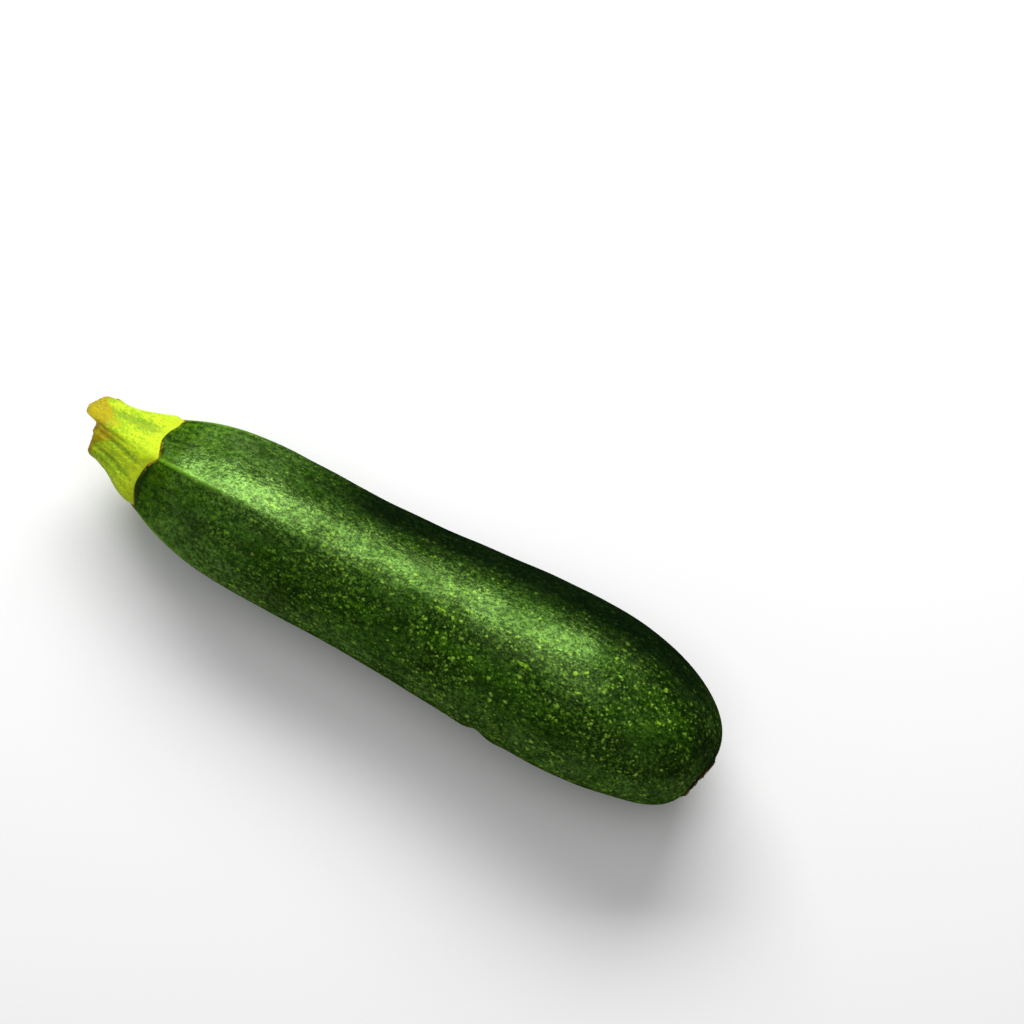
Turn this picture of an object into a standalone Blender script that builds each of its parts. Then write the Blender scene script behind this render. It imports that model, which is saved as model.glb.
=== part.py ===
"""A long green zucchini as picked, lying on a table: the ribbed fruit and the stub of the stem it grew on.

Metres, +Z up. The origin is on the table under the middle of the bounding box, and +X runs from the
stem to the blossom end. Both pieces are turned from an outline about a straight line, given their ribs,
and then bent along the spine that the fruit grew to.
"""

import math

import bmesh
import bpy
from mathutils import Vector

# Driving sizes of the fruit, measured along its spine from where the stem joins it
FRUIT_LENGTH = 0.1705
JOINT_RADIUS = 0.0131
EDGE_ROUNDING = 0.0014
NECK_RADIUS = 0.0208
BELLY_RADIUS = 0.02425
SHOULDER_END = 0.052
SHOULDER_ROUNDNESS = 3.6
BELLY_SWELLS_FROM = 0.056
BELLY_SWELLS_TO = 0.127
BLOSSOM_END_FROM = 0.128
BLOSSOM_BLUNTNESS = 0.315
BLOSSOM_FULLNESS = 1.7
SCAR_RADIUS = 0.0062
SCAR_HEIGHT = 0.0006

# Driving sizes of the stem
STEM_LENGTH = 0.0193
STEM_BASE_RADIUS = 0.0127
STEM_TIP_RADIUS = 0.0083
STEM_NARROWS_OVER = 0.018
CUT_LIP = 0.0004
CUT_HOLLOW = 0.0022
CUT_SLANT = 0.15
HORN_LENGTH = 0.0050
HORN_ANGLE = math.radians(-38)
HORN_SHARPNESS = 6
HORN_TAPER = 0.35

# Five ribs, one of them on top. The section goes from a rounded pentagon at the joint to nearly round
RIBS = 5
CREST_ROUNDING = 0.08
FLATNESS_AT_JOINT = 0.55
FLATNESS_AT_BELLY = 0.09
FLATNESS_FADES_OVER = 0.060
STEM_RIDGES = 0.085
STEM_RIDGES_RISE_OVER = 0.004
UNEVENNESS = 0.005

# The skin ends in rounded tongues between the ribs, and the two pieces keep a hair's gap
TONGUE_DEPTH = 0.0025
TONGUE_FADES_OVER = 0.016
JOINT_GAP = 0.0003

# The spine: distance along the fruit, then the sideways place and the height of its middle
SPINE = (
    (-0.0240, 0.0014, 0.0238),
    (0.0000, -0.0008, 0.0212),
    (0.0450, -0.0006, 0.0206),
    (0.0900, 0.0006, 0.0214),
    (0.1280, 0.0013, 0.0250),
    (0.1500, 0.0005, 0.0249),
    (0.1720, -0.0042, 0.0241),
)

# How finely the solids are cut
SIDES = 60
SHOULDER_STEPS = 7
SHOULDER_CROWDING = 1.5
BODY_STEPS = 16
BLOSSOM_STEPS = 12
BLOSSOM_TURN = math.radians(86)
STEM_STEPS = 12


def blend(low, high, x):
    """0 below low, 1 above high, and a smooth rise between."""
    t = min(1.0, max(0.0, (x - low) / (high - low)))
    return t * t * (3.0 - 2.0 * t)


def spine_at(along):
    """The spine's point and direction at a distance along the fruit: a smooth curve through SPINE."""
    last = len(SPINE) - 2
    i = min(last, max(0, sum(along > point[0] for point in SPINE) - 1))
    start, end = Vector(SPINE[i]), Vector(SPINE[i + 1])
    before = Vector(SPINE[max(0, i - 1)])
    after = Vector(SPINE[min(last + 1, i + 2)])
    span = end.x - start.x
    start_slope = (end - before) / (end.x - before.x)
    end_slope = (after - start) / (after.x - start.x)
    t = (along - start.x) / span
    point = (
        start * (2 * t**3 - 3 * t**2 + 1)
        + start_slope * span * (t**3 - 2 * t**2 + t)
        + end * (3 * t**2 - 2 * t**3)
        + end_slope * span * (t**3 - t**2)
    )
    direction = (
        (start - end) * (6 * t**2 - 6 * t) / span
        + start_slope * (3 * t**2 - 4 * t + 1)
        + end_slope * (3 * t**2 - 2 * t)
    )
    return point, direction.normalized()


def bent(along, radius, angle):
    """Where a point of the straight shape comes to lie. Angle 0 is the top, and it grows towards -Y."""
    centre, direction = spine_at(along)
    side = Vector((0, 0, 1)).cross(direction).normalized()
    up = direction.cross(side)
    return centre + radius * (math.cos(angle) * up - math.sin(angle) * side)


def from_rib(angle):
    """How far an angle is from the nearest rib: 0 on its crest, 1 halfway to the next."""
    turn = angle * RIBS / (2 * math.pi)
    return 2 * abs(turn - round(turn))


def pentagon(angle):
    """How far a pentagon with slightly rounded corners stands out of its circle, 0 on average."""
    away = math.hypot(from_rib(angle), CREST_ROUNDING) - CREST_ROUNDING
    return 1 / math.cos(math.pi / RIBS * (1 - away)) - 1.07


def stem_rib(angle):
    """The stem's five ridges, with a lower one in the middle between each two."""
    away = math.pi * from_rib(angle)
    return 0.6 * math.cos(away) + 0.45 * math.cos(2 * away)


def uneven(along, angle):
    """The slow, irregular swells that any grown thing has."""
    swell = math.sin(2 * angle + 0.9 + 22 * along) + 0.7 * math.sin(3 * angle - 1.1 - 41 * along)
    return 1 + UNEVENNESS * swell


def tongue(angle):
    """How far the skin reaches back over the stem: 0 in the point at a rib, and 1 between two ribs."""
    return math.sin(from_rib(angle) * math.pi / 2)


def tongue_share(distance, radius):
    """The tongues shift all of the joint's rim, and less of what is further along or nearer the middle."""
    return max(0.0, 1 - distance / TONGUE_FADES_OVER) ** 2 * min(1.0, radius / JOINT_RADIUS) ** 2


def fruit_radius(along):
    """The fruit's radius: a rounded shoulder, a neck that swells into the belly, and a blunt round end."""
    shoulder = (NECK_RADIUS - JOINT_RADIUS) * max(0.0, 1 - along / SHOULDER_END) ** SHOULDER_ROUNDNESS
    swelling = blend(BELLY_SWELLS_FROM, BELLY_SWELLS_TO, along)
    radius = NECK_RADIUS - shoulder + (BELLY_RADIUS - NECK_RADIUS) * swelling
    past = (along - BLOSSOM_END_FROM) / (FRUIT_LENGTH - BLOSSOM_END_FROM)
    if past > 0:
        radius *= max(0.0, 1 - past**BLOSSOM_FULLNESS) ** BLOSSOM_BLUNTNESS
    return radius


def stem_radius(back):
    """The stem's radius at a distance back from the fruit: a wide foot that narrows towards the cut."""
    return STEM_BASE_RADIUS + (STEM_TIP_RADIUS - STEM_BASE_RADIUS) * blend(0, STEM_NARROWS_OVER, back)


def seat():
    """The outline's points across the joint, where the two pieces face each other."""
    return [(0.0, 0.0), (0.0, JOINT_RADIUS * 0.5), (0.0, JOINT_RADIUS * 0.9)]


def fruit_outline():
    """Half the fruit's long section, from the middle of the stem's seat to the middle of the blossom scar."""
    points = seat()
    points.append((EDGE_ROUNDING * 0.3, JOINT_RADIUS * 0.985))
    for i in range(SHOULDER_STEPS):
        share = (i / SHOULDER_STEPS) ** SHOULDER_CROWDING
        along = EDGE_ROUNDING + (SHOULDER_END - EDGE_ROUNDING) * share
        points.append((along, fruit_radius(along)))
    for i in range(BODY_STEPS):
        along = SHOULDER_END + (BLOSSOM_END_FROM - SHOULDER_END) * i / BODY_STEPS
        points.append((along, fruit_radius(along)))
    for i in range(BLOSSOM_STEPS):
        share = math.sin(BLOSSOM_TURN * i / BLOSSOM_STEPS)
        along = BLOSSOM_END_FROM + (FRUIT_LENGTH - BLOSSOM_END_FROM) * share
        points.append((along, fruit_radius(along)))
    points += [
        (FRUIT_LENGTH - SCAR_HEIGHT * 0.4, SCAR_RADIUS * 1.08),
        (FRUIT_LENGTH, SCAR_RADIUS),
        (FRUIT_LENGTH + SCAR_HEIGHT * 0.7, SCAR_RADIUS * 0.94),
        (FRUIT_LENGTH + SCAR_HEIGHT, SCAR_RADIUS * 0.72),
        (FRUIT_LENGTH + SCAR_HEIGHT * 0.8, SCAR_RADIUS * 0.34),
        (FRUIT_LENGTH + SCAR_HEIGHT * 0.5, 0.0),
    ]
    return points


def stem_outline():
    """Half the stem's long section, from the middle of its foot back to the middle of the hollow cut."""
    points = seat()
    for i in range(STEM_STEPS + 1):
        back = STEM_LENGTH * i / STEM_STEPS
        points.append((-back, stem_radius(back)))
    points += [
        (-STEM_LENGTH - CUT_LIP, STEM_TIP_RADIUS * 0.90),
        (-STEM_LENGTH + CUT_HOLLOW * 0.25, STEM_TIP_RADIUS * 0.74),
        (-STEM_LENGTH + CUT_HOLLOW * 0.8, STEM_TIP_RADIUS * 0.45),
        (-STEM_LENGTH + CUT_HOLLOW, 0.0),
    ]
    return points


def turned(outline):
    """The closed surface that an outline of (distance along, radius) sweeps about the X axis."""
    mesh = bmesh.new()
    points = [mesh.verts.new((along, 0.0, radius)) for along, radius in outline]
    edges = [mesh.edges.new(pair) for pair in zip(points, points[1:])]
    bmesh.ops.spin(
        mesh,
        geom=points + edges,
        cent=(0, 0, 0),
        axis=(1, 0, 0),
        angle=2 * math.pi,
        steps=SIDES,
        use_merge=True,
    )
    bmesh.ops.remove_doubles(mesh, verts=mesh.verts, dist=1e-6)
    return mesh


def polar(point):
    """Distance along, radius and angle of a point of the straight shape."""
    return point.x, math.hypot(point.y, point.z), math.atan2(-point.y, point.z)


def shape_fruit(mesh):
    """Gives the turned fruit its ribs, its tongues round the stem and its bend."""
    for vertex in mesh.verts:
        along, radius, angle = polar(vertex.co)
        fade = math.exp(-along / FLATNESS_FADES_OVER)
        flatness = FLATNESS_AT_BELLY + (FLATNESS_AT_JOINT - FLATNESS_AT_BELLY) * fade
        shift = TONGUE_DEPTH * tongue(angle) * tongue_share(along, radius)
        radius *= (1 + flatness * pentagon(angle)) * uneven(along, angle)
        vertex.co = bent(along - shift, radius, angle)


def shape_stem(mesh):
    """Gives the turned stem its ridges, its foot between the tongues, its horned cut and its bend."""
    for vertex in mesh.verts:
        along, radius, angle = polar(vertex.co)
        shift = TONGUE_DEPTH * tongue(angle) * tongue_share(-along, radius) + JOINT_GAP
        ridges = STEM_RIDGES * blend(0, STEM_RIDGES_RISE_OVER, -along) * stem_rib(angle)
        flatness = FLATNESS_AT_JOINT * (1 - blend(0, STEM_LENGTH, -along))
        radius *= (1 + ridges + flatness * pentagon(angle)) * uneven(along, angle)
        near_cut = blend(STEM_LENGTH * 0.35, STEM_LENGTH, -along)
        slant = CUT_SLANT * radius * math.sin(angle) * near_cut
        horn = near_cut**3 * max(0.0, math.cos(angle - HORN_ANGLE)) ** HORN_SHARPNESS
        radius *= 1 - HORN_TAPER * horn
        vertex.co = bent(along - shift + slant - HORN_LENGTH * horn, radius, angle)


def settle(mesh):
    """Flattens the underside where it rests: all below the table is cut off and the cut is closed."""
    cut = bmesh.ops.bisect_plane(
        mesh,
        geom=mesh.verts[:] + mesh.edges[:] + mesh.faces[:],
        dist=1e-6,
        plane_co=(0, 0, 0),
        plane_no=(0, 0, -1),
        clear_outer=True,
    )
    rim = [item for item in cut["geom_cut"] if isinstance(item, bmesh.types.BMEdge)]
    bmesh.ops.holes_fill(mesh, edges=rim, sides=0)


def skin_material(name, colour, roughness):
    """A skin of one colour, the smoother the glossier."""
    material = bpy.data.materials.new(name)
    material.use_nodes = True
    shader = material.node_tree.nodes["Principled BSDF"]
    shader.inputs["Base Color"].default_value = (*colour, 1)
    shader.inputs["Roughness"].default_value = roughness
    shader.inputs["Metallic"].default_value = 0
    return material


def piece(name, mesh, material):
    """A named object, smooth but for its sharp edges."""
    bmesh.ops.recalc_face_normals(mesh, faces=mesh.faces)
    data = bpy.data.meshes.new(name)
    mesh.to_mesh(data)
    mesh.free()
    data.materials.append(material)
    data.shade_smooth()
    data.set_sharp_from_angle(angle=math.radians(50))
    made = bpy.data.objects.new(name, data)
    bpy.context.scene.collection.objects.link(made)
    return made


def centre_over_origin(pieces):
    """Moves the pieces together so that the middle of their box stands over the origin."""
    points = [vertex.co for made in pieces for vertex in made.data.vertices]
    for axis in (0, 1):
        places = [point[axis] for point in points]
        middle = (min(places) + max(places)) / 2
        for point in points:
            point[axis] -= middle


def main():
    for old in list(bpy.data.objects):
        bpy.data.objects.remove(old)

    fruit_mesh = turned(fruit_outline())
    shape_fruit(fruit_mesh)
    settle(fruit_mesh)
    fruit = piece("fruit", fruit_mesh, skin_material("green_skin", (0.030, 0.105, 0.012), 0.38))

    stem_mesh = turned(stem_outline())
    shape_stem(stem_mesh)
    stem = piece("stem", stem_mesh, skin_material("stem_skin", (0.480, 0.640, 0.060), 0.60))

    centre_over_origin([fruit, stem])


main()
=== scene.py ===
"""The looks of the zucchini: its finely shaped fruit and stem, the floor, the light and the camera."""

import math

import bmesh
import bpy
import numpy as np
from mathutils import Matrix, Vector, noise


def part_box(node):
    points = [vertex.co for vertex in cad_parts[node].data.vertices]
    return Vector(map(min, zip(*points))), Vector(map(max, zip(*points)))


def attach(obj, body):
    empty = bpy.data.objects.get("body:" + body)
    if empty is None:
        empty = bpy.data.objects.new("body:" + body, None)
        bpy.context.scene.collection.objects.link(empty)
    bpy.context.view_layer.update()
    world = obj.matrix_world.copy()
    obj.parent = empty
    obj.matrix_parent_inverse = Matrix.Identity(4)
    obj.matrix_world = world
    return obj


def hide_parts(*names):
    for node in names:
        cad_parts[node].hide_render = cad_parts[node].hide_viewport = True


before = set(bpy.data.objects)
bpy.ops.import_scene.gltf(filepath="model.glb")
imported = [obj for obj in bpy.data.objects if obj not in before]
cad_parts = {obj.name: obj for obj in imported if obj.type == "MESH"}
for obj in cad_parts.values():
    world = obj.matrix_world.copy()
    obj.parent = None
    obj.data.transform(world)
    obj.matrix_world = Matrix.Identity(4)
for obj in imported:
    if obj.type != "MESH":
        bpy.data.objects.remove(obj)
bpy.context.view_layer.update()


# The fruit is one grown body: pale flesh in a thin, waxy, dark green skin. It grew a little bent, so it is
# turned about a straight line, gets its five ribs, its tongues round the stem and its dents there, and is
# bent along its spine last. It lies on the flat between two ribs, with the fifth rib on top.
FRUIT_LENGTH = 0.1705
JOINT_RADIUS = 0.0131
EDGE_ROUNDING = 0.0014
NECK_RADIUS = 0.0208
BELLY_RADIUS = 0.02417
SHOULDER_END = 0.052
SHOULDER_ROUNDNESS = 3.6
BELLY_SWELLS_FROM, BELLY_SWELLS_TO = 0.056, 0.127
BLOSSOM_END_FROM = 0.128
BLOSSOM_BLUNTNESS = 0.315
BLOSSOM_FULLNESS = 1.7
RIBS = 5
CREST_ROUNDING = 0.08
FLATNESS_AT_JOINT, FLATNESS_AT_BELLY = 0.55, 0.09
FLATNESS_FADES_OVER = 0.060
UNEVENNESS = 0.005
TONGUE_DEPTH = 0.0025
TONGUE_FADES_OVER = 0.016
LIP_HEIGHT, LIP_WIDTH = 0.0005, 0.0026
CREASE_HEIGHT, CREASE_WIDTH, CREASE_FADES_OVER = 0.00020, 0.06, 0.025
RIPPLE_HEIGHT, RIPPLES_PER_METRE, RIPPLE_STRETCH = 0.00014, 160, 0.6
RELIEF_FADES_OVER = 0.004
SCAR_RADIUS = 0.0062
SCAR_HEIGHT = 0.0006
SCAR_REACH, SCAR_RISES_OVER = 1.12, 0.0012
SCAR_ROUGHNESS, SCAR_GRAINS_PER_METRE = 0.00022, 900
SCAR_PLEATS, PLEAT_DEPTH = 9, 0.00030
FRUIT_SIDES = 288
EDGE_STEPS, SHOULDER_STEPS, BODY_STEPS, BLOSSOM_STEPS = 7, 44, 60, 48
SHOULDER_CROWDING = 1.4
BLOSSOM_TURN = math.radians(82)
SPINE = np.array([
    (-0.0240, 0.0014, 0.0238),
    (0.0000, -0.0008, 0.0212),
    (0.0450, -0.0006, 0.0206),
    (0.0900, 0.0006, 0.0214),
    (0.1280, 0.0013, 0.0250),
    (0.1500, 0.0005, 0.0249),
    (0.1720, -0.0042, 0.0241),
])
# How far the skin's edge is rounded off round the joint: most at the thick tongue on the near side
EDGE_DROPS = np.array([
    (-180, 0.0005),
    (-144, 0.0003),
    (-108, 0.0006),
    (-72, 0.0002),
    (-36, 0.0002),
    (-4, 0.0002),
    (20, 0.0009),
    (55, 0.0011),
    (72, 0.0005),
    (108, 0.0008),
    (144, 0.0003),
])
# How much further back than a regular tongue the joint's line runs, at angles round it
JOINT_WANDERS = np.array([
    (-110, 0.0),
    (-82, 0.0009),
    (-66, 0.0001),
    (-54, -0.0008),
    (-42, -0.0004),
    (-22, 0.0005),
    (0, 0.0),
    (12, 0.0007),
    (30, 0.0),
])
# Where each dent is along the fruit and round it, how long and wide it is, and how deep. Two healed swellings
# stand out beside the deepest one.
DENTS = (
    (0.1062, math.radians(94), 0.0022, 0.0060, -0.00020),
    (0.1105, math.radians(94), 0.0022, 0.0060, 0.00085),
    (0.1160, math.radians(94), 0.0027, 0.0060, -0.00030),
    (0.0620, math.radians(-118), 0.0040, 0.0032, 0.00035),
    (0.1340, math.radians(-150), 0.0030, 0.0045, 0.00045),
    (0.0290, math.radians(150), 0.0045, 0.0030, 0.00035),
)
# The scar's long section: how far it stands out in scar heights, and how far it is from the middle in scar radii
SCAR_OUTLINE = (
    (-0.55, 1.16),
    (-0.42, 1.08),
    (-0.10, 1.02),
    (0.35, 0.985),
    (0.70, 0.94),
    (0.88, 0.86),
    (0.98, 0.76),
    (1.00, 0.64),
    (0.97, 0.52),
    (0.90, 0.40),
    (0.80, 0.29),
    (0.68, 0.18),
    (0.55, 0.08),
    (0.50, 0.00),
)
# Where a deeper green is painted on as shade, on the far side and on the far side of the blossom end: where it
# begins, in metres along the fruit, and where it fades in and out again, in degrees from the top towards the far
# side
SHADY_SIDE_ALONG, SHADY_SIDE_IN, SHADY_SIDE_OUT = (0.016, 0.062), (17, 54), (100, 165)
SHADY_SIDE_EASES_ALONG, SHADY_SIDE_EASES_BY = (0.150, 0.169), 0.3
SHADY_TIP_ALONG, SHADY_TIP_IN, SHADY_TIP_OUT = (0.150, 0.168), (-55, 32), (110, 170)
SHADY_TIP_SHARE = 0.85
# What counts as the full mark of a deep dent, and of an edge that is rounded off, in metres
DEEP_DENT, THICK_LIP = 0.0008, 0.0009


def blend(low, high, x):
    """0 below low, 1 above high, and a smooth rise between."""
    t = np.clip((x - low) / (high - low), 0, 1)
    return t * t * (3 - 2 * t)


def from_rib(angle):
    """How far an angle is from the nearest rib: 0 on its crest, 1 halfway to the next."""
    turn = angle * RIBS / (2 * math.pi)
    return 2 * abs(turn - np.round(turn))


def pentagon(angle):
    """How far a pentagon with slightly rounded corners stands out of its circle, 0 on average."""
    away = np.hypot(from_rib(angle), CREST_ROUNDING) - CREST_ROUNDING
    return 1 / np.cos(math.pi / RIBS * (1 - away)) - 1.07


def uneven(along, angle):
    """The slow, irregular swells that any grown thing has."""
    swell = np.sin(2 * angle + 0.9 + 22 * along) + 0.7 * np.sin(3 * angle - 1.1 - 41 * along)
    return 1 + UNEVENNESS * swell


def tongue_shift(distance, radius, angle):
    """How far the skin reaches back over the stem: most between two ribs, at the joint's rim."""
    share = np.clip(1 - distance / TONGUE_FADES_OVER, 0, 1) ** 2 * np.minimum(1, radius / JOINT_RADIUS) ** 2
    wander = np.interp(np.degrees(angle), JOINT_WANDERS[:, 0], JOINT_WANDERS[:, 1])
    return (TONGUE_DEPTH * np.sin(from_rib(angle) * math.pi / 2) + wander) * share


def spine_at(along):
    """The spine's points and directions at distances along the fruit: a smooth curve through SPINE."""
    last = len(SPINE) - 2
    i = np.clip(np.searchsorted(SPINE[:, 0], along) - 1, 0, last)
    start, end = SPINE[i], SPINE[i + 1]
    before, after = SPINE[np.maximum(0, i - 1)], SPINE[np.minimum(last + 1, i + 2)]
    span = end[:, :1] - start[:, :1]
    start_slope = (end - before) / (end - before)[:, :1]
    end_slope = (after - start) / (after - start)[:, :1]
    t = (along[:, None] - start[:, :1]) / span
    point = (
        start * (2 * t**3 - 3 * t**2 + 1)
        + start_slope * span * (t**3 - 2 * t**2 + t)
        + end * (3 * t**2 - 2 * t**3)
        + end_slope * span * (t**3 - t**2)
    )
    direction = (
        (start - end) * (6 * t**2 - 6 * t) / span
        + start_slope * (3 * t**2 - 4 * t + 1)
        + end_slope * (3 * t**2 - 2 * t)
    )
    return point, direction / np.linalg.norm(direction, axis=1)[:, None]


def bent(along, radius, angle):
    """Where points of the straight shape come to lie. Angle 0 is the top, and it grows towards -Y."""
    centre, direction = spine_at(along)
    side = np.cross((0, 0, 1), direction)
    side /= np.linalg.norm(side, axis=1)[:, None]
    up = np.cross(direction, side)
    return centre + radius[:, None] * (np.cos(angle)[:, None] * up - np.sin(angle)[:, None] * side)


def grain(along, radius, angle, per_metre):
    """Smooth noise from -1 to 1 at points of the straight shape."""
    points = np.stack([along, radius * np.sin(angle), radius * np.cos(angle)], 1) * per_metre
    return np.array([noise.noise(point) for point in points])


def turned(outline, sides):
    """The closed surface that an outline of (distance along, radius) sweeps about the X axis."""
    mesh = bmesh.new()
    points = [mesh.verts.new((along, 0, radius)) for along, radius in outline]
    edges = [mesh.edges.new(pair) for pair in zip(points, points[1:])]
    bmesh.ops.spin(
        mesh,
        geom=points + edges,
        cent=(0, 0, 0),
        axis=(1, 0, 0),
        angle=2 * math.pi,
        steps=sides,
        use_merge=True,
    )
    bmesh.ops.remove_doubles(mesh, verts=mesh.verts, dist=1e-6)
    return mesh


def polar(mesh):
    """Distance along, radius and angle of every point of the straight shape."""
    x, y, z = np.array([vertex.co for vertex in mesh.verts]).T
    return x, np.hypot(y, z), np.arctan2(-y, z)


def place(mesh, along, radius, angle, marks):
    """Bends the straight shape, flattens it where it lies, and keeps each point's place before bending."""
    spots = bent(along, radius, angle)
    spots[:, 2] = np.maximum(spots[:, 2], 0)
    grown = mesh.verts.layers.float_vector.new("grown")
    straight = np.stack([along, -radius * np.sin(angle), radius * np.cos(angle)], 1)
    for vertex, spot, before in zip(mesh.verts, spots, straight):
        vertex.co = spot
        vertex[grown] = before
    for name, values in marks.items():
        mark = mesh.verts.layers.float.new(name)
        for vertex, value in zip(mesh.verts, values):
            vertex[mark] = value


def show_piece(name, mesh, material, node, move):
    """Makes a smooth object of the mesh, which stands for a node of the solids."""
    bmesh.ops.recalc_face_normals(mesh, faces=mesh.faces)
    bmesh.ops.translate(mesh, verts=mesh.verts, vec=move)
    data = bpy.data.meshes.new(name)
    mesh.to_mesh(data)
    mesh.free()
    data.materials.append(material)
    data.shade_smooth()
    made = bpy.data.objects.new(name, data)
    bpy.context.scene.collection.objects.link(made)
    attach(made, "root")
    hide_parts(node)


def fruit_radius(along):
    """The fruit's radius: a rounded shoulder, a neck that swells into the belly, and a blunt round end."""
    shoulder = (NECK_RADIUS - JOINT_RADIUS) * np.clip(1 - along / SHOULDER_END, 0, 1) ** SHOULDER_ROUNDNESS
    swelling = blend(BELLY_SWELLS_FROM, BELLY_SWELLS_TO, along)
    past = np.clip((along - BLOSSOM_END_FROM) / (FRUIT_LENGTH - BLOSSOM_END_FROM), 0, 1)
    blunt = (1 - past**BLOSSOM_FULLNESS) ** BLOSSOM_BLUNTNESS
    return (NECK_RADIUS - shoulder + (BELLY_RADIUS - NECK_RADIUS) * swelling) * blunt


def fruit_outline():
    """Half the fruit's long section, from the middle of the stem's seat to the middle of the blossom scar."""
    points = [(0, JOINT_RADIUS * share) for share in (0, 0.3, 0.6, 0.8, 0.9)]
    for turn in np.linspace(0, math.pi / 2, EDGE_STEPS + 1)[:-1]:
        along = EDGE_ROUNDING * (1 - math.cos(turn))
        points.append((along, fruit_radius(along)))
    for share in np.linspace(0, 1, SHOULDER_STEPS + 1)[:-1] ** SHOULDER_CROWDING:
        along = EDGE_ROUNDING + (SHOULDER_END - EDGE_ROUNDING) * share
        points.append((along, fruit_radius(along)))
    for along in np.linspace(SHOULDER_END, BLOSSOM_END_FROM, BODY_STEPS + 1)[:-1]:
        points.append((along, fruit_radius(along)))
    for turn in np.linspace(0, BLOSSOM_TURN, BLOSSOM_STEPS):
        along = BLOSSOM_END_FROM + (FRUIT_LENGTH - BLOSSOM_END_FROM) * math.sin(turn)
        points.append((along, fruit_radius(along)))
    for height, share in SCAR_OUTLINE:
        points.append((FRUIT_LENGTH + SCAR_HEIGHT * height, SCAR_RADIUS * share))
    return points


fruit_mesh = turned(fruit_outline(), FRUIT_SIDES)
along, radius, angle = polar(fruit_mesh)
at_rim = np.minimum(1, radius / JOINT_RADIUS) ** 2
at_scar = blend(FRUIT_LENGTH - SCAR_RISES_OVER, FRUIT_LENGTH, along) * (radius < SCAR_RADIUS * SCAR_REACH)
rib = from_rib(angle)
fade = np.exp(-along / FLATNESS_FADES_OVER)
flatness = FLATNESS_AT_BELLY + (FLATNESS_AT_JOINT - FLATNESS_AT_BELLY) * fade
skin = at_rim * (1 - blend(FRUIT_LENGTH - RELIEF_FADES_OVER, FRUIT_LENGTH, along))

# The skin's relief: its edge, the lip beside it, the crease on each rib, the ripples and the dents
edge_drop = np.interp(np.degrees(angle), EDGE_DROPS[:, 0], EDGE_DROPS[:, 1], period=360)
edge_left = 1 - np.sqrt(1 - np.clip(1 - along / EDGE_ROUNDING, 0, 1) ** 2)
relief = -edge_drop * edge_left
relief += LIP_HEIGHT * np.sin(rib * math.pi / 2) * np.exp(-((along / LIP_WIDTH) ** 2))
relief += CREASE_HEIGHT * np.exp(-((rib / CREASE_WIDTH) ** 2) - along / CREASE_FADES_OVER)
relief += RIPPLE_HEIGHT * grain(along * RIPPLE_STRETCH, radius, angle, RIPPLES_PER_METRE)
dented = 0 * along
for dent_along, dent_angle, length, width, depth in DENTS:
    across = radius * np.angle(np.exp(1j * (angle - dent_angle)))
    dented += depth * np.exp(-(((along - dent_along) / length) ** 2) - (across / width) ** 2)
relief -= dented

# The scar: rough cork, drawn into pleats between its middle and its rim, and scalloped round the rim
shifted = along - tongue_shift(along, radius, angle)
shifted -= at_scar * SCAR_ROUGHNESS * (1 + grain(along, radius, angle, SCAR_GRAINS_PER_METRE))
scar_out = radius / SCAR_RADIUS
pleats = 1 + np.cos(SCAR_PLEATS * angle + 1.8 * np.sin(2 * angle + 1) + 4 * scar_out)
shifted -= at_scar * PLEAT_DEPTH * pleats * blend(0.15, 0.45, scar_out) * (1 - blend(0.85, 1.0, scar_out))
scalloped = 1 + at_scar * (0.04 * np.sin(5 * angle + 0.6) + 0.03 * np.sin(8 * angle - 1.0))
scalloped += at_scar * 0.02 * np.sin(19 * angle + 2 * np.sin(3 * angle))
grown_radius = (radius + relief * skin) * (1 + flatness * pentagon(angle)) * uneven(along, angle) * scalloped

# What the skin's colours go by
far = -np.degrees(angle)
# away is the painted shade: a deeper green on the far side, eased near the blossom end, and on the blossom end's
# far side
away = blend(*SHADY_SIDE_IN, far) * (1 - blend(*SHADY_SIDE_OUT, far)) * blend(*SHADY_SIDE_ALONG, along)
away *= 1 - SHADY_SIDE_EASES_BY * blend(*SHADY_SIDE_EASES_ALONG, along)
painted_tip_shade = blend(*SHADY_TIP_ALONG, along) * blend(*SHADY_TIP_IN, far) * (1 - blend(*SHADY_TIP_OUT, far))
away = np.maximum(away, SHADY_TIP_SHARE * painted_tip_shade)
marks = {
    "rib": rib,
    "scar": at_scar,
    "edge": along,
    "dented": dented / DEEP_DENT,
    "away": away,
    "scar_out": scar_out,
    "lip": np.clip(edge_drop / THICK_LIP - 0.3, 0, 1),
}
place(fruit_mesh, shifted, grown_radius, angle, marks)

# The solids stand centred over the origin, so the shown pieces move by as much as brings the fruits together
own_low = np.array([vertex.co for vertex in fruit_mesh.verts]).min(0)
own_high = np.array([vertex.co for vertex in fruit_mesh.verts]).max(0)
box_low, box_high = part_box("fruit")
to_solid = (box_low + box_high - Vector(own_low) - Vector(own_high)) / 2
to_solid.x = box_high.x - own_high[0]
to_solid.z = 0


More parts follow.
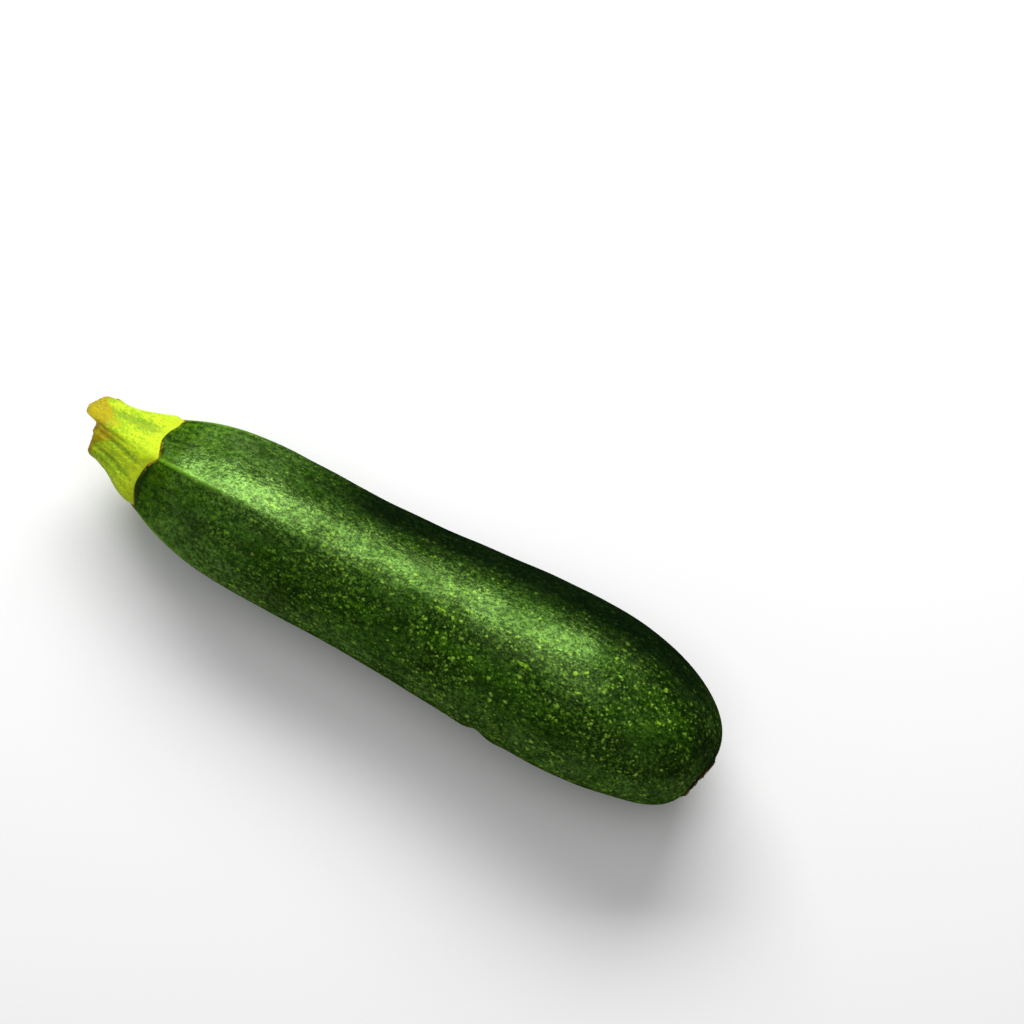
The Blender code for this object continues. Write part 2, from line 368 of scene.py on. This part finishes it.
class Wire:
    """One socket of a material's nodes. Sums, differences and products of wires and numbers become Math nodes."""

    def __init__(self, tree, socket=None):
        self.tree = tree
        self.socket = socket

    def node(self, kind, settings=(), sockets=(), give=0):
        """A new node of a kind: its settings first, then its sockets' values or the wires that lead there."""
        made = self.tree.nodes.new("ShaderNode" + kind)
        for name, value in dict(settings).items():
            setattr(made, name, value)
        for name, value in dict(sockets).items():
            if isinstance(value, Wire):
                self.tree.links.new(value.socket, made.inputs[name])
            else:
                made.inputs[name].default_value = value
        return Wire(self.tree, made.outputs[give]) if made.outputs else None

    def math(self, operation, *values):
        return self.node("Math", {"operation": operation}, enumerate(values))

    def __add__(self, other):
        return self.math("ADD", self, other)

    def __mul__(self, other):
        return self.math("MULTIPLY", self, other)

    def __sub__(self, other):
        return self.math("SUBTRACT", self, other)

    def __rsub__(self, other):
        return self.math("SUBTRACT", other, self)

    __radd__ = __add__
    __rmul__ = __mul__

    def mark(self, name, give="Fac"):
        """What the mesh carries at each point under a name."""
        return self.node("Attribute", {"attribute_name": name}, (), give)

    def rise(self, low, high):
        """0 where the wire is below low, 1 above high, with a smooth rise between. High may be the lower one."""
        sockets = {"Value": self, "From Min": low, "From Max": high}
        return self.node("MapRange", {"interpolation_type": "SMOOTHSTEP"}, sockets)

    def paint(self, under, over):
        """The colour under where the wire is 0, and the colour over where it is 1."""
        return self.node("Mix", {"data_type": "RGBA"}, {0: self, 6: under, 7: over}, 2)

    def stretched(self, *per_metre):
        """A place in metres, counted in pattern cells along each axis."""
        return self.node("VectorMath", {"operation": "MULTIPLY"}, {0: self, 1: per_metre})

    def clouds(self, detail=3.0, roughness=0.55):
        """Soft noise about 0.5 at a place counted in cells."""
        sockets = {"Vector": self, "Scale": 1.0, "Detail": detail, "Roughness": roughness}
        return self.node("TexNoise", (), sockets)

    def warped(self, amount, per_metre):
        """A place in metres, moved about by noise up to half the amount each way."""
        drift = self.node("TexNoise", (), {"Vector": self, "Scale": per_metre}, "Color")
        sockets = {0: drift, 1: (amount, amount, amount), 2: self}
        return self.node("VectorMath", {"operation": "MULTIPLY_ADD"}, sockets)

    def cells(self):
        """The distance to the nearest of many points scattered one to a cell."""
        return self.node("TexVoronoi", (), {"Vector": self, "Scale": 1.0}, "Distance")

    def lot(self, channel):
        """A random number from 0 to 1 for the nearest of those points."""
        colour = self.node("TexVoronoi", (), {"Vector": self, "Scale": 1.0}, "Color")
        return self.node("SeparateColor", (), {0: colour}, channel)


def rgb(red, green, blue):
    """An opaque colour in linear light."""
    return (red, green, blue, 1.0)


def new_material(name):
    """An empty material and a wire into its nodes."""
    material = bpy.data.materials.new(name)
    material.use_nodes = True
    material.node_tree.nodes.clear()
    return material, Wire(material.node_tree)


def finish_material(wire, colour, roughness, height, depth, fixed=(), gloss=None, tint=None, spread=None):
    """The surface of a material: what varies over it is wired, and what is fixed is set on the shader. Wax adds
    a tinted gloss on top, as strong as the gloss wire says and as soft as its spread."""
    bump = wire.node("Bump", (), {"Strength": 1.0, "Distance": depth, "Height": height})
    sockets = {"Base Color": colour, "Roughness": roughness, "Normal": bump}
    sockets.update(fixed)
    surface = wire.node("BsdfPrincipled", (), sockets)
    if gloss is not None:
        wax = wire.node("BsdfAnisotropic", (), {"Color": tint, "Roughness": spread, "Normal": bump})
        surface = wire.node("MixShader", (), {0: gloss, 1: surface, 2: wax})
    wire.node("OutputMaterial", (), {"Surface": surface})


# The first green is painted shade, for the far side and the far side of the blossom end
SKIN_PAINTED_SHADE = rgb(0.0006, 0.003, 0.0010)
SKIN_DEEP = rgb(0.0018, 0.009, 0.0003)
SKIN_GREEN = rgb(0.010, 0.043, 0.0006)
SKIN_LIGHT = rgb(0.075, 0.185, 0.002)
CREST_LIGHT = rgb(0.130, 0.300, 0.015)
FLECK_PALE = rgb(0.240, 0.440, 0.038)
FLECK_YELLOW = rgb(0.220, 0.420, 0.012)
EDGE_DARK = rgb(0.004, 0.014, 0.001)
EDGE_BROWN = rgb(0.300, 0.160, 0.015)
SCAR_TAN = rgb(0.400, 0.280, 0.110)
SCAR_OCHRE = rgb(0.170, 0.105, 0.025)
SCAR_DARK = rgb(0.028, 0.015, 0.006)
WAX_TINT, WAX_SPREAD = rgb(0.54, 1.0, 0.23), 0.34
SKIN_BUMP_DEPTH = 0.00012

skin_material, wire = new_material("zucchini_skin")
grown = wire.mark("grown", "Vector")
rib_wire = wire.mark("rib")
scar_wire = wire.mark("scar")
out_wire = wire.mark("scar_out")
edge_wire = wire.mark("edge")
dent_wire = wire.mark("dented")
painted_shade_wire = wire.mark("away")
lip_wire = wire.mark("lip")

# The green: long streaks, and a fine mottle of lighter and darker specks that comes and goes in patches
streaks = grown.stretched(30, 180, 180).clouds()
patches = grown.stretched(70, 110, 110).clouds(2.0)
mottle = grown.stretched(680, 780, 780).clouds(3.0, 0.65)
grains = grown.stretched(1700, 1800, 1800).clouds(1.0)
towards_blossom = edge_wire.rise(0.030, 0.120)
off_neck = edge_wire.rise(-0.006, 0.045)
colour = streaks.rise(0.32, 0.70).paint(SKIN_DEEP, SKIN_GREEN)
fine = mottle * 0.65 + grains * 0.35
colour = (fine.rise(0.49, 0.66) * patches.rise(0.22, 0.62) * 0.65).paint(colour, SKIN_LIGHT)
colour = (fine.rise(0.50, 0.40) * 0.75).paint(colour, SKIN_DEEP)
neck = edge_wire.rise(0.020, 0.0) * grown.stretched(50, 620, 620).clouds().rise(0.36, 0.68) * 0.36
colour = neck.paint(colour, SKIN_LIGHT)

# The pale flecks, from the smallest to the largest, and yellow dashes near the ribs. Each pattern has a point to
# a cell, and a random number of the point's makes it smaller and another makes it fainter
crumbs = grown.warped(0.0012, 1000).stretched(820, 900, 900)
crumb = (crumbs.cells() - crumbs.lot(0) * 0.24).rise(0.26, -0.02) * crumbs.lot(1).rise(0.20, 0.95)
crumb_share = crumb * (0.50 + 0.30 * towards_blossom) * patches.rise(0.24, 0.58) * off_neck
colour = crumb_share.paint(colour, FLECK_PALE)
freckles = grown.warped(0.0015, 900).stretched(430, 540, 540)
freckle = (freckles.cells() - freckles.lot(0) * 0.20).rise(0.20, -0.06) * freckles.lot(1).rise(0.10, 0.90)
colour = (freckle * (0.50 + 0.35 * towards_blossom) * off_neck).paint(colour, FLECK_PALE)
dots = grown.warped(0.0015, 900).stretched(250, 300, 300)
dot = (dots.cells() - dots.lot(0).rise(0.30, 1.0) * 0.07).rise(0.08, -0.04) * dots.lot(1).rise(0.10, 0.9)
colour = (dot * (0.42 + 0.33 * towards_blossom) * off_neck).paint(colour, FLECK_PALE)
dashes = grown.warped(0.0012, 700).stretched(110, 640, 640)
dash = (dashes.cells() - dashes.lot(0).rise(0.60, 1.0) * 0.28).rise(0.12, -0.08) * fine.rise(0.40, 0.56)
colour = (dash * rib_wire.rise(0.42, 0.22) * off_neck * 0.8).paint(colour, FLECK_YELLOW)

# A light line on each rib near the stem, a deeper green painted on as shade on the far side, the scars in the
# dents, and the dark edge round the stem with its rust, which is partly painted shade where the lip is thick
crest = (rib_wire + (fine - 0.5) * 0.30).rise(0.090, 0.0) * edge_wire.rise(0.030, 0.003)
colour = (crest * 0.70).paint(colour, CREST_LIGHT)
colour = (painted_shade_wire * (0.83 + streaks * 0.24)).paint(colour, SKIN_PAINTED_SHADE)
colour = (dent_wire.rise(0.25, 1.0) * streaks.rise(0.40, 0.55) * 0.5).paint(colour, SCAR_DARK)
# The dark edge round the stem is its own colour, and where the lip is thickest it is widened as painted shade on
# the rounded rim
to_edge = edge_wire + (mottle - 0.5) * 0.0010 - lip_wire * 0.0022
colour = to_edge.rise(0.0008, -0.0006).paint(colour, EDGE_DARK)
rust = edge_wire.rise(0.0008, 0.0001) * rib_wire.rise(0.85, 0.25) * mottle.rise(0.35, 0.60) * 0.8
colour = rust.paint(colour, EDGE_BROWN)

# The blossom scar: tan cork with rays, cracks and rings, and a dark, ragged rim
cork = grown.stretched(700, 700, 700).clouds(4.0, 0.7)
rays = grown.stretched(250, 420, 420).clouds(5.0, 0.75)
scar_colour = (cork * 0.5 + rays * 0.5).rise(0.40, 0.60).paint(SCAR_OCHRE, SCAR_TAN)
cracks = (grown.stretched(700, 800, 800).cells() + cork * 0.5).rise(0.48, 0.30) * 0.8
scar_colour = cracks.paint(scar_colour, SCAR_DARK)
rings = (out_wire * 26 + rays * 9).math("SINE").rise(0.2, 0.9) * 0.45
scar_colour = rings.paint(scar_colour, SCAR_OCHRE)
scar_rim = (out_wire + (rays - 0.5) * 0.9 + (cork - 0.5) * 0.4).rise(0.72, 0.98)
scar_colour = scar_rim.paint(scar_colour, SCAR_DARK)
scar_mask = (scar_wire + (cork - 0.5) * 0.8).rise(0.35, 0.65)
colour = scar_mask.paint(colour, scar_colour)

# The wax: broken up by the mottle and worn in patches, thicker on the neck, dull at its rim and on the scar, and
# mostly taken off where shade is painted on the far side
pores = grown.stretched(1000, 1200, 1200).cells()
height = pores * 0.5 + mottle * 0.9 + grains * 0.35 + freckle * 0.4 + dot * 0.4 + patches * 2.0
height += scar_mask * (cork * 3.0 - cracks * 1.5)
wax = grown.stretched(110, 160, 160).clouds(3.0)
sparkle = (fine.rise(0.38, 0.60) * 0.75 + 0.3) * (0.45 + wax.rise(0.34, 0.60) * 0.55)
neck_wax = edge_wire.rise(0.050, 0.012) * 1.2
rim_dull = edge_wire.rise(0.0105, 0.0035) * 0.75
gloss = (0.006 + sparkle * 0.064) * (1 + neck_wax) * (1 - rim_dull) * (1 - scar_mask * 0.8) * (1 - painted_shade_wire * 0.9)
finish_material(
    wire,
    colour,
    0.45 + mottle * 0.16 + scar_mask * 0.20,
    height,
    SKIN_BUMP_DEPTH,
    {"Specular IOR Level": 0.0},
    gloss,
    WAX_TINT,
    WAX_SPREAD + edge_wire.rise(0.060, 0.012) * 0.04,
)
show_piece("zucchini_fruit", fruit_mesh, skin_material, "fruit", to_solid)


# The stem is the stub of the stalk that the fruit grew on: tough, pale yellow-green, with ridges that run
# down into the fruit's ribs. It was cut off when the fruit was picked, and the cut has dried to a horny
# ochre rim that stands out in one corner.
STEM_LENGTH = 0.0193
STEM_BASE_RADIUS, STEM_TIP_RADIUS = 0.0129, 0.0083
STEM_NARROWS_OVER = 0.018
CUT_LIP = 0.0004
CUT_HOLLOW = 0.0022
JOINT_GAP = 0.00005
STEM_RIDGES = 0.045
STEM_RIDGES_RISE_OVER = 0.004
HORN_ANGLE = math.radians(-38)
HORN_SHARPNESS = 6
HORN_TAPER = 0.10
FLARE_ANGLE, FLARE_HEIGHT = math.radians(78), 0.0006
FIBRE_HEIGHT, FIBRES_PER_METRE, FIBRE_STRETCH = 0.00008, 1500, 0.15
LUMP_HEIGHT, LUMPS_PER_METRE = 0.00012, 350
CUT_ROUGHNESS, CUT_GRAINS_PER_METRE = 0.0002, 1100
STEM_SIDES = 240
STEM_STEPS, LIP_STEPS, CUT_STEPS = 80, 9, 16
# The cut's ragged rim: how high its teeth are, and about how many there are in a turn
RAGGED = (
    (0.00020, 7),
    (0.00012, 19),
)
# The depth that counts as the full mark of a furrow
DEEP_FURROW = 0.0004
# The cut's rim: at an angle round the stem, how far back it stands and how wide its dried zone is
RIM = np.array([
    (-180, 0.0181, 0.0030),
    (-130, 0.0185, 0.0030),
    (-100, 0.0187, 0.0030),
    (-80, 0.0192, 0.0016),
    (-66, 0.0206, 0.0012),
    (-60, 0.0222, 0.0010),
    (-54, 0.0230, 0.0012),
    (-46, 0.0236, 0.0024),
    (-36, 0.0240, 0.0044),
    (-26, 0.0243, 0.0070),
    (-14, 0.0247, 0.0083),
    (-4, 0.0246, 0.0090),
    (1, 0.0243, 0.0090),
    (3.5, 0.0238, 0.0085),
    (5, 0.0222, 0.0070),
    (6.5, 0.0204, 0.0064),
    (14, 0.0200, 0.0058),
    (24, 0.0198, 0.0044),
    (32, 0.0191, 0.0026),
    (42, 0.0187, 0.0008),
    (54, 0.0183, 0.0006),
    (66, 0.0178, 0.0006),
    (78, 0.0169, 0.0006),
    (90, 0.0164, 0.0008),
    (135, 0.0173, 0.0018),
])
# Furrows between the ridges: the angle, the half-width in degrees, and the depth
FURROWS = (
    (-38, 12, 0.0004),
    (18, 5, 0.00034),
    (47, 5, 0.00042),
    (60, 4, 0.00020),
    (88, 6, 0.0006),
    (116, 6, 0.0006),
    (166, 7, 0.0006),
    (-162, 6, 0.0006),
    (-112, 7, 0.0006),
    (-88, 6, 0.0005),
)


def stem_radius(back):
    """The stem's radius at a distance back from the fruit: a wide foot that narrows towards the cut."""
    return STEM_BASE_RADIUS + (STEM_TIP_RADIUS - STEM_BASE_RADIUS) * blend(0, STEM_NARROWS_OVER, back)


def stem_outline():
    """Half the stem's long section, from the middle of its foot back to the middle of the hollow cut."""
    points = [(0, JOINT_RADIUS * share) for share in (0, 0.3, 0.6, 0.85)]
    for back in np.linspace(0, STEM_LENGTH, STEM_STEPS):
        points.append((-back, stem_radius(back)))
    for turn in np.linspace(0, math.pi, LIP_STEPS)[1:-1]:
        along = -STEM_LENGTH - CUT_LIP * math.sin(turn)
        points.append((along, STEM_TIP_RADIUS * (0.94 + 0.06 * math.cos(turn))))
    for share in np.linspace(0, 1, CUT_STEPS):
        along = -STEM_LENGTH + CUT_HOLLOW * math.sin(share * math.pi / 2)
        points.append((along, STEM_TIP_RADIUS * 0.88 * (1 - share)))
    return points


stem_mesh = turned(stem_outline(), STEM_SIDES)
along, radius, angle = polar(stem_mesh)
back = -along
at_edge = np.minimum(1, radius / STEM_TIP_RADIUS) ** 2
degrees = np.degrees(angle)

# The cut: its slanting, ragged rim pulls the stem's last two thirds along, and the horn tapers
near_cut = blend(STEM_LENGTH * 0.35, STEM_LENGTH, back)
rim_back = np.interp(degrees, RIM[:, 0], RIM[:, 1], period=360)
dried_width = np.interp(degrees, RIM[:, 0], RIM[:, 2], period=360)
ragged = sum(height * grain(along * 0, radius * 0 + 1, angle, teeth) for height, teeth in RAGGED)
rim_shift = (rim_back - STEM_LENGTH + ragged) * near_cut * at_edge
horn = near_cut**3 * np.maximum(0, np.cos(angle - HORN_ANGLE)) ** HORN_SHARPNESS

# The side: furrows and ridges that run out at the foot, fibres and lumps, and a flare on the near side
furrow = sum(
    depth * np.exp(-(((degrees - middle + 180) % 360 - 180) / width) ** 2) for middle, width, depth in FURROWS
)
furrow_deep = blend(-0.001, 0.008, back) * (1 - 0.4 * blend(0.012, STEM_LENGTH, back))
flare = FLARE_HEIGHT * blend(0.010, 0.015, back) * np.maximum(0, np.cos(angle - FLARE_ANGLE)) ** 2
rising = blend(0, STEM_RIDGES_RISE_OVER, back)
flatness = FLATNESS_AT_JOINT * (1 - blend(0, STEM_LENGTH, back))
ridges = STEM_RIDGES * rising * np.cos(math.pi * from_rib(angle))
fibres = FIBRE_HEIGHT * grain(along * FIBRE_STRETCH, radius * 0 + 0.010, angle, FIBRES_PER_METRE)
fibres += LUMP_HEIGHT * grain(along, radius, angle, LUMPS_PER_METRE)
on_side = radius > STEM_TIP_RADIUS * 0.9
grown_radius = radius * (1 + ridges + flatness * pentagon(angle)) * uneven(along, angle)
grown_radius *= 1 - HORN_TAPER * horn
grown_radius += at_edge * rising * (fibres - furrow * furrow_deep + flare)
shifted = along - JOINT_GAP - tongue_shift(back, radius, angle) - rim_shift
shifted += (1 - on_side) * near_cut * CUT_ROUGHNESS * grain(along * 0, radius, angle, CUT_GRAINS_PER_METRE)
to_rim = np.where(on_side, (rim_back - back - rim_shift) / dried_width, 0)
marks = {
    "furrow": furrow * furrow_deep / DEEP_FURROW,
    "to_rim": to_rim,
    "back": back,
    "cut_face": (1 - on_side) * near_cut,
}
place(stem_mesh, shifted, grown_radius, angle, marks)

STEM_YELLOW = rgb(0.450, 0.560, 0.012)
STEM_GREEN = rgb(0.220, 0.410, 0.010)
STEM_OLIVE = rgb(0.105, 0.205, 0.012)
RIM_OCHRE = rgb(0.340, 0.275, 0.003)
RIM_TAN = rgb(0.215, 0.150, 0.026)
RIM_DARK = rgb(0.150, 0.100, 0.010)
STEM_GLOSS = {"IOR": 1.3, "Specular Tint": rgb(1.0, 1.0, 0.4)}
STEM_BUMP_DEPTH = 0.00022

stem_material, wire = new_material("zucchini_stem")
grown = wire.mark("grown", "Vector")
furrow_wire = wire.mark("furrow")
to_rim_wire = wire.mark("to_rim")
back_wire = wire.mark("back")
cut_wire = wire.mark("cut_face")

# The side: yellow near the fruit, blotched with green, and olive in the furrows
fibre = grown.stretched(150, 1100, 1100).clouds(3.0, 0.6)
patches = grown.stretched(300, 480, 480).clouds(4.0, 0.7)
flaws = grown.stretched(1300, 1600, 1600).clouds(2.0, 0.7)
speck = grown.stretched(700, 800, 800).cells()
colour = (patches * 0.4 + flaws * 0.6 + (fibre - 0.5) * 0.4).rise(0.60, 0.40).paint(STEM_GREEN, STEM_YELLOW)
colour = (back_wire.rise(0.010, 0.001) * 0.6).paint(colour, STEM_YELLOW)
colour = ((furrow_wire + (flaws - 0.5) * 1.8).rise(0.0, 0.95) * 0.62).paint(colour, STEM_OLIVE)
colour = (fibre.rise(0.60, 0.75) * 0.20 + speck.rise(0.16, 0.06) * 0.25).paint(colour, STEM_OLIVE)

# The dried zone of ochre and tan that begins at the rim, and the cut's face
blotches = grown.stretched(200, 260, 260).clouds(4.0, 0.7)
dried = (to_rim_wire + (blotches - 0.5) * 2.2 + (flaws - 0.5) * 0.8).rise(1.30, 0.62)
horny = (blotches * 0.5 + flaws * 0.5 + (furrow_wire - 0.5) * 0.06).rise(0.46, 0.60).paint(RIM_OCHRE, RIM_TAN)
colour = (dried * (flaws.rise(0.25, 0.50) * 0.35 + 0.65)).paint(colour, horny)
colour = ((to_rim_wire + (fibre - 0.5) * 0.3).rise(0.10, 0.0) * 0.5).paint(colour, RIM_TAN)
rings = grown.stretched(300, 700, 700).clouds(4.0, 0.7)
colour = cut_wire.rise(0.2, 0.8).paint(colour, rings.rise(0.40, 0.60).paint(RIM_TAN, RIM_OCHRE))
colour = back_wire.rise(0.0002, -0.0001).paint(colour, RIM_DARK)
height = fibre * 0.6 + patches * 0.5 + flaws * 0.4 + rings * 0.2
finish_material(wire, colour, 0.55 + fibre * 0.25, height, STEM_BUMP_DEPTH, STEM_GLOSS)
show_piece("zucchini_stem", stem_mesh, stem_material, "stem", to_solid)


# The floor is a wide sheet of white card, which the zucchini lies on.
FLOOR_SIZE = 6.0
FLOOR_DROP = 0.0001
FLOOR_WHITE, FLOOR_SHADE = rgb(0.74, 0.74, 0.74), rgb(0.72, 0.72, 0.72)
CARD_TOOTH_DEPTH = 0.00002

card = bmesh.new()
bmesh.ops.create_grid(card, x_segments=1, y_segments=1, size=FLOOR_SIZE / 2)
bmesh.ops.translate(card, verts=card.verts, vec=(0, 0, -FLOOR_DROP))
floor_data = bpy.data.meshes.new("floor")
card.to_mesh(floor_data)
card.free()
floor_material, wire = new_material("white_card")
spot = wire.node("TexCoord", (), (), "Object")
tooth = spot.stretched(900, 900, 900).clouds()
card_colour = spot.stretched(3, 3, 3).clouds().paint(FLOOR_WHITE, FLOOR_SHADE)
finish_material(wire, card_colour, 0.85 + tooth * 0.1, tooth, CARD_TOOTH_DEPTH)
floor_data.materials.append(floor_material)
floor = bpy.data.objects.new("floor", floor_data)
bpy.context.scene.collection.objects.link(floor)


# The light is a bright, even studio: a long soft box over the far side of the fruit, a weaker one straight
# above it, and a pale surround.
KEY_POWER, KEY_SIZE, KEY_PLACE = 15.0, (1.0, 0.42), Vector((-0.36, 0.67, 0.66))
FILL_POWER, FILL_SIZE, FILL_PLACE = 8.0, (1.2, 1.0), Vector((-0.10, 0.05, 1.50))
SURROUND = 0.25


def soft_box(name, power, size, spot):
    """A rectangular lamp that shines at the fruit."""
    lamp = bpy.data.lights.new(name, "AREA")
    lamp.shape = "RECTANGLE"
    lamp.energy = power
    lamp.size, lamp.size_y = size
    made = bpy.data.objects.new(name, lamp)
    made.location = spot
    made.rotation_euler = (-spot).to_track_quat("-Z", "Y").to_euler()
    bpy.context.scene.collection.objects.link(made)


soft_box("key_light", KEY_POWER, KEY_SIZE, KEY_PLACE)
soft_box("fill_light", FILL_POWER, FILL_SIZE, FILL_PLACE)
world = bpy.data.worlds.new("studio")
bpy.context.scene.world = world
world.use_nodes = True
world.node_tree.nodes["Background"].inputs["Color"].default_value = rgb(1.0, 1.0, 1.0)
world.node_tree.nodes["Background"].inputs["Strength"].default_value = SURROUND
bpy.context.scene.view_settings.view_transform = "Standard"


# The camera looks down on the zucchini from a steep angle over its near side, through a long lens.
AZIMUTH, ELEVATION = math.radians(29.37), math.radians(82)
DISTANCE = 1.0494
AIM_HEIGHT = 0.022
ASIDE, ABOVE = 0.03130, 0.02092
LENS, SENSOR = 135, 36

back_way = Vector((
    math.sin(AZIMUTH) * math.cos(ELEVATION),
    -math.cos(AZIMUTH) * math.cos(ELEVATION),
    math.sin(ELEVATION),
))
right_way = Vector((math.cos(AZIMUTH), math.sin(AZIMUTH), 0))
up_way = back_way.cross(right_way)
lens = bpy.data.cameras.new("camera")
lens.lens, lens.sensor_width = LENS, SENSOR
camera = bpy.data.objects.new("camera", lens)
camera.location = Vector((0, 0, AIM_HEIGHT)) + right_way * ASIDE + up_way * ABOVE + back_way * DISTANCE
camera.rotation_euler = (-back_way).to_track_quat("-Z", "Y").to_euler()
bpy.context.scene.collection.objects.link(camera)
bpy.context.scene.camera = camera

bpy.context.view_layer.update()
